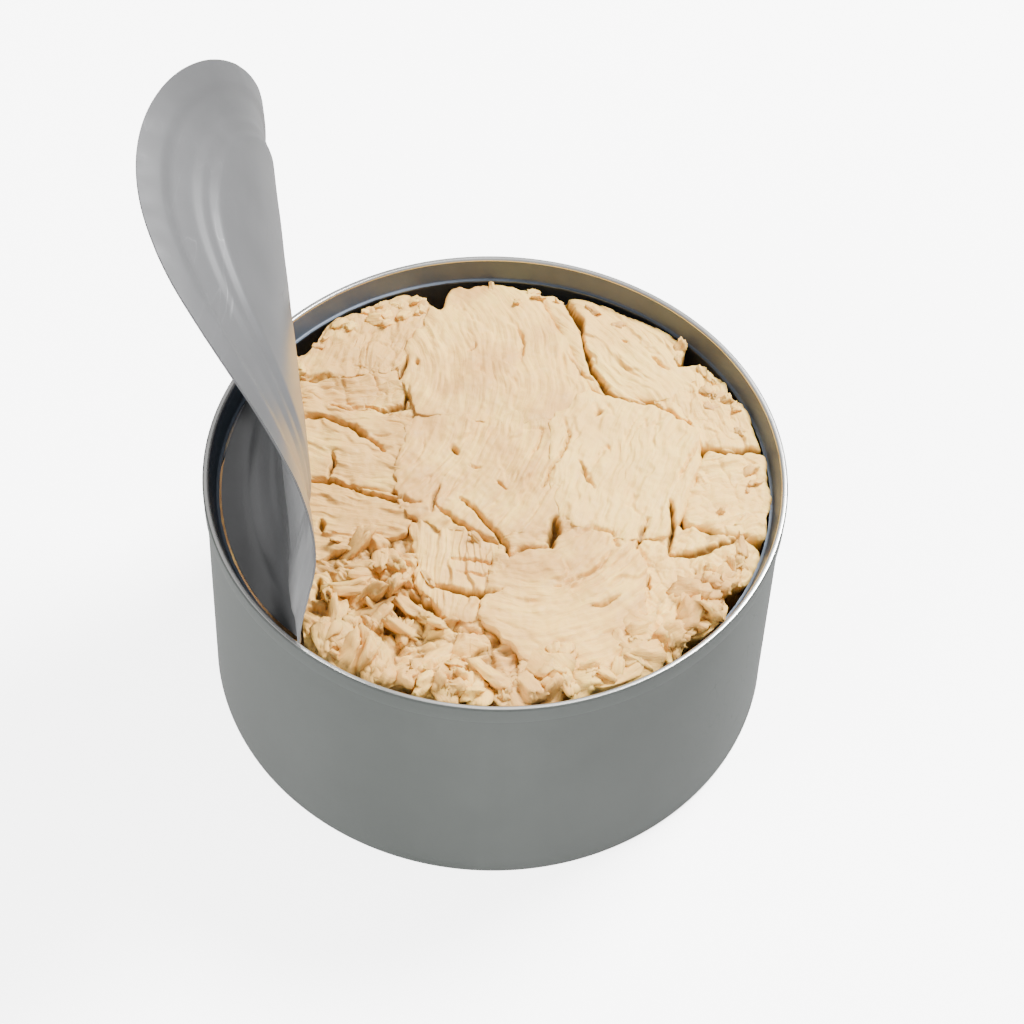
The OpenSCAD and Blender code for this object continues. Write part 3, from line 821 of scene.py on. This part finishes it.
# %% The character of each block
BLOCK_LOOKS = {
    # node: (grain, pitch, step, fibre height, crumb height, slits, lift, tilt x, tilt y)
    "chunk_back_left": (80, 4.4, 0.60, 0.42, 0.32, 0.8, 0.3, -0.03, -0.03),
    "chunk_back": (("arc", -32, 18), 5.0, 0.55, 0.26, 0.10, 0.7, 0.5, 0.00, -0.02),
    "chunk_back_right": (130, 5.0, 0.50, 0.20, 0.10, 0.6, 0.0, 0.01, -0.02),
    "chunk_right": (100, 4.0, 0.50, 0.30, 0.36, 0.5, 0.3, 0.00, 0.00),
    "chunk_right_front": (20, 4.6, 0.45, 0.28, 0.36, 0.5, 0.4, 0.00, 0.01),
    "chunk_centre_right": (75, 4.2, 0.60, 0.24, 0.10, 1.0, 0.8, -0.01, 0.02),
    "chunk_centre": (("arc", -34, 14), 4.8, 0.60, 0.26, 0.10, 0.8, 0.7, 0.00, 0.00),
    "chunk_left": (12, 4.0, 0.85, 0.38, 0.40, 0.7, 0.0, 0.00, 0.05),
    "chunk_left_band": (165, 4.6, 0.60, 0.26, 0.10, 0.8, 0.2, 0.02, 0.02),
    "chunk_left_front": (168, 4.0, 0.60, 0.28, 0.10, 0.8, 0.0, 0.03, 0.02),
    "chunk_layered": (88, 2.8, 0.70, 0.24, 0.10, 0.4, 0.1, 0.00, 0.02),
    "chunk_swirl": (("arc", 4, -6), 4.2, 0.70, 0.28, 0.10, 0.6, 0.5, 0.00, 0.00),
    "chunk_front_left": (140, 3.2, 0.90, 0.50, 1.10, 0.7, -0.4, 0.02, 0.01),
    "chunk_front_right": (60, 4.6, 0.70, 0.34, 0.60, 0.6, 0.0, 0.00, 0.01),
    "front_flakes": (15, 3.4, 0.80, 0.40, 1.10, 0.5, -0.6, 0.00, 0.01),
}
OPEN = {
    ("chunk_back_right", "chunk_centre_right"), ("chunk_back", "chunk_back_right"),
    ("chunk_right", "chunk_right_front"), ("chunk_front_right", "chunk_right_front"),
    ("chunk_left_band", "chunk_left_front"), ("chunk_centre_right", "chunk_right_front"),
}
# The tan blocks at the left carry partly painted shade; the pale blocks at the right are a lit
# copy that paints stronger light.
TAN_BLOCKS = ("chunk_back_left", "chunk_left", "chunk_left_band", "chunk_left_front",
              "chunk_front_left")
LIT_PALE_BLOCKS = ("chunk_back_right", "chunk_right", "chunk_right_front", "chunk_centre_right",
               "chunk_front_right")
PRESS, CRACK_OPEN = 1.1, 0.6    # how far outlines widen at closed and open borders
SIDE_STEPS = 7
LID_SIDE = FOLD_CHORD - FOLD_RADIUS - 0.6


def outline_reach(node):
    """Reach of a block in each sector, and how open its border is there."""
    middle, ring, _ = OUTLINES[node]
    others = [(other, p) for other in BLOCKS if other != node for p in OUTLINES[other][1]]
    around = sorted((math.atan2(*(p - middle).yx), (p - middle).length) for p in ring)
    angles = np.linspace(-math.pi, math.pi, SECTORS, endpoint=False)
    ends = [a[0] for a in around]
    reach = np.interp(angles, ends, [a[1] for a in around], period=math.tau)
    gaps = np.zeros(SECTORS)
    for i, angle in enumerate(angles):
        point = middle + float(reach[i]) * Vector((math.cos(angle), math.sin(angle)))
        other = min(others, key=lambda o: (o[1] - point).length_squared)[0]
        gaps[i] = 1.0 if tuple(sorted((node, other))) in OPEN else 0.0
    kernel = np.hanning(13) / np.hanning(13).sum()
    gaps = np.convolve(np.tile(gaps, 3), kernel, "same")[SECTORS:2 * SECTORS]
    return middle, angles, reach, gaps


# %% [markdown]
# The heights come from a few simple layers, added up: the general level, long
# waves, flake steps, fine fibres, crumbs and short slits. A flake step is a saw
# tooth: each sheet of muscle rises slowly and ends in a small ledge, and noise bends
# the sheets so that no two ledges run alike. Everything finer than the waves also
# goes into `detail`, and its low places get painted shade, in brown.

# %% Layers of a block's top
def grain_place(grain, x, y):
    """Distance across and along the flakes at each point."""
    if isinstance(grain, tuple):
        dx, dy = x - grain[1], y - grain[2]
        return np.hypot(dx, dy), np.arctan2(dy, dx) * 22
    angle = math.radians(grain)
    return (-x * math.sin(angle) + y * math.cos(angle),
            x * math.cos(angle) + y * math.sin(angle))


def flake_steps(across, x, y, pitch, step, seed):
    """Saw-tooth ledges of overlapping flakes."""
    bend = 0.8 * noise_at(x, y, 8, seed) + 0.3 * noise_at(x, y, 2.2, seed + 1)
    place = across / pitch + bend
    share = place - np.floor(place)
    tooth = share - ease(share, 0.84, 1.0)
    strength = ease(noise_at(x, y, 5.5, seed + 2), -0.2, 0.35)
    return step * strength * (tooth - 0.4)


def fibre_ridges(across, along, height):
    """Fine ridges of single fibres, in two sizes."""
    fine = noise_at(across / 0.5, along / 4, 1.0, 30)
    coarse = noise_at(across / 1.4, along / 6, 1.0, 31)
    return height * (0.45 * fine + coarse) * ease(noise_at(across, along, 5.0, 32), -0.45, 0.4)


def crumb_lumps(x, y, height):
    """Broken lumps with creases between them: nearest-cell noise in two sizes."""
    total = np.zeros(len(x))
    for size, share in ((4.2, 1.0), (2.0, 0.35)):
        sway_x = x + 0.9 * noise_at(x, y, 2.4, 40)
        sway_y = y + 0.9 * noise_at(x, y, 2.4, 41)
        rows = np.column_stack((sway_x / size, sway_y / size, np.full(len(x), size)))
        for i, row in enumerate(rows.tolist()):
            gaps, cells = noise.voronoi(row)
            split = min(1.0, 1.35 * (gaps[1] - gaps[0]))
            lump = split * (2 - split)
            total[i] += share * (lump - 0.75 + 0.5 * noise.cell(cells[0] * 9.1))
    return height * total


def slit_depth(across, along, x, y, amount):
    """Short thin tears that run along the fibres."""
    wave = noise_at(across / 1.9, along / 8, 1.0, 60)
    line = np.exp(-(wave / 0.05) ** 2)
    return 0.45 * amount * line * ease(noise_at(x, y, 4.5, 61), 0.12, 0.4)


def block_height(look, middle, x, y):
    """Height of a block's top, its fine detail, and the place along its fibres."""
    grain, pitch, step, fibre, crumb, slits, lift, tilt_x, tilt_y = look
    across, along = grain_place(grain, x, y)
    across = across + 1.1 * noise_at(x, y, 9, 34) + 0.35 * noise_at(x, y, 3, 35)
    z = fish_level(x, y) + lift + tilt_x * (x - middle.x) + tilt_y * (y - middle.y)
    z += 0.5 * noise_at(x, y, 13) + 0.34 * noise_at(x, y, 5, 2)
    detail = flake_steps(across, x, y, pitch, step, 3)
    detail += flake_steps(across, x, y, pitch / 2.6, step / 2.6, 13)
    detail += fibre_ridges(across, along, 1.35 * fibre)
    detail += 0.10 * noise_at(x, y, 0.9, 23) + 0.16 * noise_at(x, y, 2.1, 24)
    if crumb > 0.3:
        detail += crumb_lumps(x, y, crumb)
    detail -= slit_depth(across, along, x, y, slits)
    return z + detail, detail, across, along


# %% [markdown]
# A block begins as a spun solid one unit wide. `shape_block` stretches it to its
# outline, sector by sector, lays the layers on its top, and tucks its side under.

# %% Building one block
def unit_block(rings, sectors):
    """A spun solid of unit reach: top at height 1, foot at height 0."""
    bm = bmesh.new()
    section = [Vector(((i / rings) ** 0.8, 0, 1)) for i in range(rings + 1)]
    section += [Vector((1, 0, 1 - (i + 1) / SIDE_STEPS)) for i in range(SIDE_STEPS)]
    section += [Vector((0, 0, 0))]
    spin_round(bm, add_path(bm, section), sectors)
    return bm


def shape_block(bm, node, look, shrink=0.0):
    """Gives a unit block its outline and its top, and stores its attributes."""
    middle, angles, reach, gaps = outline_reach(node)
    fibre = bm.verts.layers.float_vector.new("fibre")
    crease = bm.verts.layers.float.new("crease")
    unit = np.array([v.co for v in bm.verts])
    share, height = np.hypot(unit[:, 0], unit[:, 1]), unit[:, 2]
    angle = np.arctan2(unit[:, 1], unit[:, 0])
    cos, sin = np.cos(angle), np.sin(angle)
    gap = np.interp(angle, angles, gaps, period=math.tau)
    far = np.interp(angle, angles, reach, period=math.tau)
    far += PRESS + (CRACK_OPEN - PRESS) * gap - shrink
    edge_x, edge_y = middle.x + far * cos, middle.y + far * sin
    far += (1 - 0.4 * gap) * (0.9 * noise_at(edge_x, edge_y, 4, 30)
                              + 0.5 * noise_at(edge_x, edge_y, 1.4, 50)
                              + 0.25 * noise_at(edge_x, edge_y, 0.6, 51))
    tuck = 0.5 * (1 - height) * ease(share, 0.9, 1.0)
    x = middle.x + (far * share - tuck) * cos
    y = middle.y + (far * share - tuck) * sin
    distance = np.hypot(x, y)
    over_lip = ease(fish_level(x, y) + look[6], LIP_LEVEL + 0.5, LIP_LEVEL + 1.0)
    limit = wall_limit(np.arctan2(y, x)) - shrink
    limit += 0.5 * over_lip * ease(height, 0.86, 1.0)
    over = np.maximum(0, distance - limit)
    x, y = x * (1 - over / distance), y * (1 - over / distance)
    lid_side = np.maximum(0, -(x * HEAD.x + y * HEAD.y) - LID_SIDE)
    x, y = x + lid_side * HEAD.x, y + lid_side * HEAD.y
    carved = mark_depth(x, y)
    top, detail, across, along = block_height(look, middle, x, y)
    edge = ease(wall_limit(np.arctan2(y, x)) - np.hypot(x, y), 0.9, 0.0)
    fall = (0.25 + 0.8 * gap) * share ** 22 + np.minimum(over, 1.5) * 0.3 + 0.35 * edge
    surface = np.minimum(top - fall - carved, CAN_HEIGHT - 0.25)
    z = BED_TOP + (surface - BED_TOP) * height - 0.3 * (1 - height)
    z = np.maximum(z, BED_TOP - 0.3)
    # Painted shade, as brown: in the cracks, in the low places of the detail, down the block's
    # sides and at the open borders.
    brown = carved / CREASE_DEPTH + 0.65 * ease(-detail, 0.1, 1.3)
    brown += 0.9 * (1 - height) + 0.45 * gap * share ** 20
    for i, vert in enumerate(bm.verts):
        vert.co = (x[i], y[i], z[i])
        vert[fibre] = (along[i] / 9, across[i] / 0.9, 0)
        vert[crease] = min(1.0, brown[i])


FISH_PIECES = []
for node in BLOCKS:
    bm = unit_block(RINGS, SECTORS)
    shape_block(bm, node, BLOCK_LOOKS[node], 1.0 if node == "front_flakes" else 0.0)
    bmesh.ops.recalc_face_normals(bm, faces=bm.faces)
    look, slot = FISH_CREAM, "fish_cream"
    if node in TAN_BLOCKS:
        look, slot = FISH_TAN, "fish_tan"
    elif node in LIT_PALE_BLOCKS:
        look = FISH_LIT_PALE
    name = "fish_" + node.replace("chunk_", "")
    FISH_PIECES.append(finish_piece(bm, name, look, slot, [node], sharp_angle=0))

# %% [markdown]
# ## The imported bed
# Under the blocks lies more fish, down to the base. Only a little of it shows, in
# the cracks and in the bays at the wall, and its dark colour is painted shade. It
# is a spun solid that fills the can, with a lumpy top.

# %% The imported bed
BED_STEPS, BED_SPIN_STEPS = 60, 160


def make_bed():
    bm = bmesh.new()
    gap = BODY_SHEET + 0.1
    top_radius = BODY_RADIUS - gap
    section = [Vector((top_radius * i / BED_STEPS, 0, BED_TOP)) for i in range(BED_STEPS + 1)]
    section += reversed(arc(STAND_OUTER, BASE_CORNER, BASE_CORNER - gap, -60, 0, 5))
    section += [Vector((STAND_INNER, 0, gap + BEAD_HEIGHT)),
                Vector((BASE_PANEL, 0, BASE_RECESS + BEAD_HEIGHT + gap)),
                Vector((0, 0, BASE_RECESS + BEAD_HEIGHT + gap))]
    spin_round(bm, add_path(bm, section), BED_SPIN_STEPS)
    fibre = bm.verts.layers.float_vector.new("fibre")
    crease = bm.verts.layers.float.new("crease")
    for vert in bm.verts:
        x, y, z = vert.co
        vert[fibre] = (x / 5, y / 2, z / 2)
        # Some painted shade all over the bed.
        vert[crease] = 0.3
        if z > BED_TOP - 0.01:
            inside = ease(top_radius - math.hypot(x, y), 0.0, 2.0)
            vert.co.z -= inside * (0.2 + 0.5 * abs(noise.noise(Vector((x, y, 0)) / 2.5)))
    finish_piece(bm, "fish_packed_bed", DEEP_SHADE_FISH, "fish_deep", ["fish_bed"])


make_bed()

# %% [markdown]
# ## Loose flakes
# Small flakes lie where the fork has broken the edge of a block: thickly along
# the front and in the hollow at the front left, and here and there elsewhere. Each
# starts as a ball, is pushed towards a box, torn by noise and pressed flat. It is
# then dropped onto whatever lies under it, which a ray from above finds.

# %% Dropping a flake
TREES = [BVHTree.FromPolygons([v.co for v in o.data.vertices],
                              [p.vertices for p in o.data.polygons]) for o in FISH_PIECES]


def surface_at(x, y):
    """Highest fish surface under a point, in millimetres, and its normal."""
    hits = [tree.ray_cast(Vector((x, y, 60)) * MM, Vector((0, 0, -1))) for tree in TREES]
    hits = [(h[0].z / MM, h[1]) for h in hits if h[0]]
    return max(hits, key=lambda h: h[0]) if hits else (BED_TOP, UP)


def scrap(bm, place, size, turn, seed, layers):
    """Adds one torn flake to the bmesh."""
    fibre, crease = layers
    made = bmesh.ops.create_icosphere(bm, subdivisions=3, radius=1.0)["verts"]
    for vert in made:
        co = Vector([math.copysign(abs(c) ** 0.78, c) for c in vert.co])
        pull = 0.8 + 0.6 * noise.noise(co * 0.9 + Vector((seed, 0, 0)))
        pull += 0.6 * abs(noise.noise(co * 1.9 + Vector((0, seed, 0))))
        pull += 0.22 * noise.noise(co * 4 + Vector((0, 0, seed)))
        ridge = 0.4 * noise.noise(Vector((co.x * 0.8, co.y * 4.5, seed)))
        co = co * pull
        co.z += ridge + 0.35 * co.x * co.x - 0.2 * co.y * co.y
        vert[fibre] = (co.x * size[0] / 5, co.y * size[1] / 0.7, seed)
        vert.co = co
    bmesh.ops.scale(bm, vec=size, verts=made)
    bmesh.ops.rotate(bm, matrix=turn, verts=made, cent=(0, 0, 0))
    bmesh.ops.translate(bm, vec=place, verts=made)
    # Painted shade: each flake turns browner towards its underside.
    for vert in made:
        below = (place.z - vert.co.z) / size[2]
        vert[crease] = 0.55 * float(ease(below, -0.1, 1.4))


SIZE_SPREAD, FLAKE_TILT = (0.75, 1.25), 0.38


def make_flakes(name, draw, spots, sizes, shape, look, replaced=()):
    """Drops flakes at the spots. shape holds their width and thickness, as shares."""
    bm = bmesh.new()
    layers = (bm.verts.layers.float_vector.new("fibre"), bm.verts.layers.float.new("crease"))
    count = 0
    for x, y in spots:
        long = draw.uniform(*sizes)
        size = Vector((long, long * shape[0] * draw.uniform(*SIZE_SPREAD),
                       long * shape[1] * draw.uniform(*SIZE_SPREAD)))
        limit = float(wall_limit(np.array([math.atan2(y, x)]))[0]) - 0.5 * long
        far = math.hypot(x, y)
        if far > limit:
            x, y = x * limit / far, y * limit / far
        if -(x * HEAD.x + y * HEAD.y) > LID_SIDE - long:
            continue
        z, normal = surface_at(x, y)
        z = min(z - 0.1 * size.z, CAN_HEIGHT - 0.3 - 0.5 * long)
        turn = (UP.rotation_difference(normal).to_matrix()
                @ Matrix.Rotation(draw.uniform(0, math.tau), 3, "Z")
                @ Matrix.Rotation(draw.gauss(0, FLAKE_TILT), 3, "Y")
                @ Matrix.Rotation(draw.gauss(0, FLAKE_TILT), 3, "X"))
        scrap(bm, Vector((x, y, z)), size, turn, draw.uniform(0, 90), layers)
        count += 1
    print(f"{name}: {count} flakes")
    finish_piece(bm, name, *look, replaced, sharp_angle=0)


def front_spots(draw, low, high, count):
    for _ in range(count):
        angle = math.radians(draw.uniform(low, high))
        far = REACH - 0.2 - min(6.5, abs(draw.gauss(0, 3.2)))
        yield far * math.cos(angle), far * math.sin(angle)


def shred_spots(draw, count):
    for _ in range(count):
        yield draw.gauss(-15.5, 4.8), draw.gauss(-23, 4.8)


def wall_spots(draw, *stretches):
    for low, high, count in stretches:
        for _ in range(count):
            angle = math.radians(draw.uniform(low, high))
            far = REACH - 0.8 - abs(draw.gauss(0, 2.0))
            yield far * math.cos(angle), far * math.sin(angle)


CREAM_LOOK, TAN_LOOK = (FISH_CREAM, "fish_cream"), (FISH_TAN, "fish_tan")
draw = random.Random(5)
make_flakes("front_loose_flakes", draw, front_spots(draw, -104, -28, 80), (1.3, 3.5),
            (0.72, 0.36), CREAM_LOOK, ["front_flakes"])
make_flakes("front_tan_flakes", draw, front_spots(draw, -140, -98, 42), (1.4, 3.9),
            (0.62, 0.34), TAN_LOOK, ["front_flakes"])
make_flakes("front_left_shreds", draw, shred_spots(draw, 36), (1.5, 4.0), (0.40, 0.26),
            TAN_LOOK, ["chunk_front_left"])
make_flakes("wall_crumbs", draw, wall_spots(draw, (15, 45, 16), (-50, 5, 22), (108, 150, 22),
                                            (60, 100, 8)), (0.6, 1.5), (0.65, 0.4), CREAM_LOOK)

# %% [markdown]
# ## Studio
# A pale sweep of paper, one large soft light from the upper right, a weaker low one
# from the left, and a bright sky all round. Metal shows what it reflects, so cards
# that only shiny surfaces see stand outside the view and draw light and dark bands.

# %% Floor and lights
PAPER_GLOW, SKY_LIGHT = 4.5, 0.95


def stage_grid(name, size, place, turn, values, squares=1):
    """A flat rectangle for the studio. values goes to its shader."""
    bm = bmesh.new()
    bmesh.ops.create_grid(bm, x_segments=squares, y_segments=squares, size=0.5)
    bmesh.ops.scale(bm, vec=(*size, 1), verts=bm.verts)
    bmesh.ops.rotate(bm, matrix=turn, verts=bm.verts, cent=(0, 0, 0))
    bmesh.ops.translate(bm, vec=place, verts=bm.verts)
    mesh = bpy.data.meshes.new(name)
    bm.to_mesh(mesh)
    bm.free()
    mesh.materials.append(new_material(name, values)[0])
    grid = bpy.data.objects.new(name, mesh)
    bpy.context.scene.collection.objects.link(grid)
    return grid


def add_light(name, place, target, size, power):
    data = bpy.data.lights.new(name, "AREA")
    data.shape = "DISK"
    data.size = size
    data.energy = power
    lamp = bpy.data.objects.new(name, data)
    lamp.location = place
    lamp.rotation_euler = (target - Vector(place)).to_track_quat("-Z", "Y").to_euler()
    bpy.context.scene.collection.objects.link(lamp)
    return lamp


floor = stage_grid("studio_floor", (6.0, 6.0), (0, 0, 0), Matrix.Identity(3),
                   {"Base Color": (0.9, 0.9, 0.9, 1), "Roughness": 0.9,
                    "Emission Color": (1, 1, 1, 1), "Emission Strength": PAPER_GLOW}, 2)
floor.visible_glossy = False
rim_centre = Vector((0, 0, CAN_HEIGHT * MM))
add_light("key_softbox", (0.32, 0.30, 0.62), rim_centre, 0.30, 20)
fill = add_light("fill_softbox", (-0.6, -0.38, 0.34), rim_centre, 0.45, 8)
fill.visible_glossy = False

world = bpy.data.worlds.new("studio_sky")
bpy.context.scene.world = world
world.use_nodes = True
world.node_tree.nodes["Background"].inputs["Color"].default_value = (1, 1, 1, 1)
world.node_tree.nodes["Background"].inputs["Strength"].default_value = SKY_LIGHT


def add_card(name, place, width, height, grey):
    """A card outside the view that faces the rim and that only shiny surfaces see."""
    turn = (rim_centre - Vector(place)).to_track_quat("Z", "Y").to_matrix()
    card = stage_grid(name, (width, height), place, turn,
                      {"Base Color": (0, 0, 0, 1), "Emission Color": (grey, grey, grey, 1),
                       "Emission Strength": 1.0})
    card.visible_camera = False
    card.visible_diffuse = False
    card.visible_shadow = False


add_card("grey_card_back", (0.25, 0.55, -0.08), 0.9, 0.30, 0.62)
add_card("bright_card_back", (0.38, 0.60, 0.34), 0.5, 0.10, 1.5)
add_card("dark_card_left", (-0.60, 0.36, 0.0), 0.16, 0.8, 0.10)
add_card("dark_card_middle", (-0.44, 0.50, 0.05), 0.07, 0.8, 0.10)
add_card("bright_strip", (-0.50, 0.44, 0.06), 0.03, 0.45, 1.8)

# %% [markdown]
# ## Camera
# The camera looks down at about fifty degrees from in front. Its distance is
# eight rim radii, and a slight roll tips the horizon. The shift only centres the
# can with its raised lid in the frame.

# %% Camera
RIM_RADIUS = (BODY_RADIUS + SEAM_STEP) * MM
DISTANCE = 8            # in rim radii
ELEVATION = math.radians(50.72)
ROLL = math.radians(2.354)
LENS, SHIFT_X, SHIFT_Y = 82.24, 0.0157, -0.0458


def make_camera():
    data = bpy.data.cameras.new("camera")
    data.sensor_width = 36
    data.lens = LENS
    data.shift_x = SHIFT_X
    data.shift_y = SHIFT_Y
    data.clip_start = 0.01
    camera = bpy.data.objects.new("camera", data)
    away = Vector((0, -math.cos(ELEVATION), math.sin(ELEVATION)))
    turn = (-away).to_track_quat("-Z", "Y").to_matrix()
    camera.matrix_world = (Matrix.Translation(rim_centre + DISTANCE * RIM_RADIUS * away)
                           @ (turn @ Matrix.Rotation(ROLL, 3, "Z")).to_4x4())
    bpy.context.scene.collection.objects.link(camera)
    bpy.context.scene.camera = camera
    return camera


camera = make_camera()
bpy.context.view_layer.update()
for degrees in (0, 90, 180, 270):
    a = math.radians(degrees)
    spot = rim_centre + RIM_RADIUS * Vector((math.cos(a), math.sin(a), 0))
    view = world_to_camera_view(bpy.context.scene, camera, spot)
    print(f"rim at {degrees} degrees: {view.x:.4f} across, {1 - view.y:.4f} down")
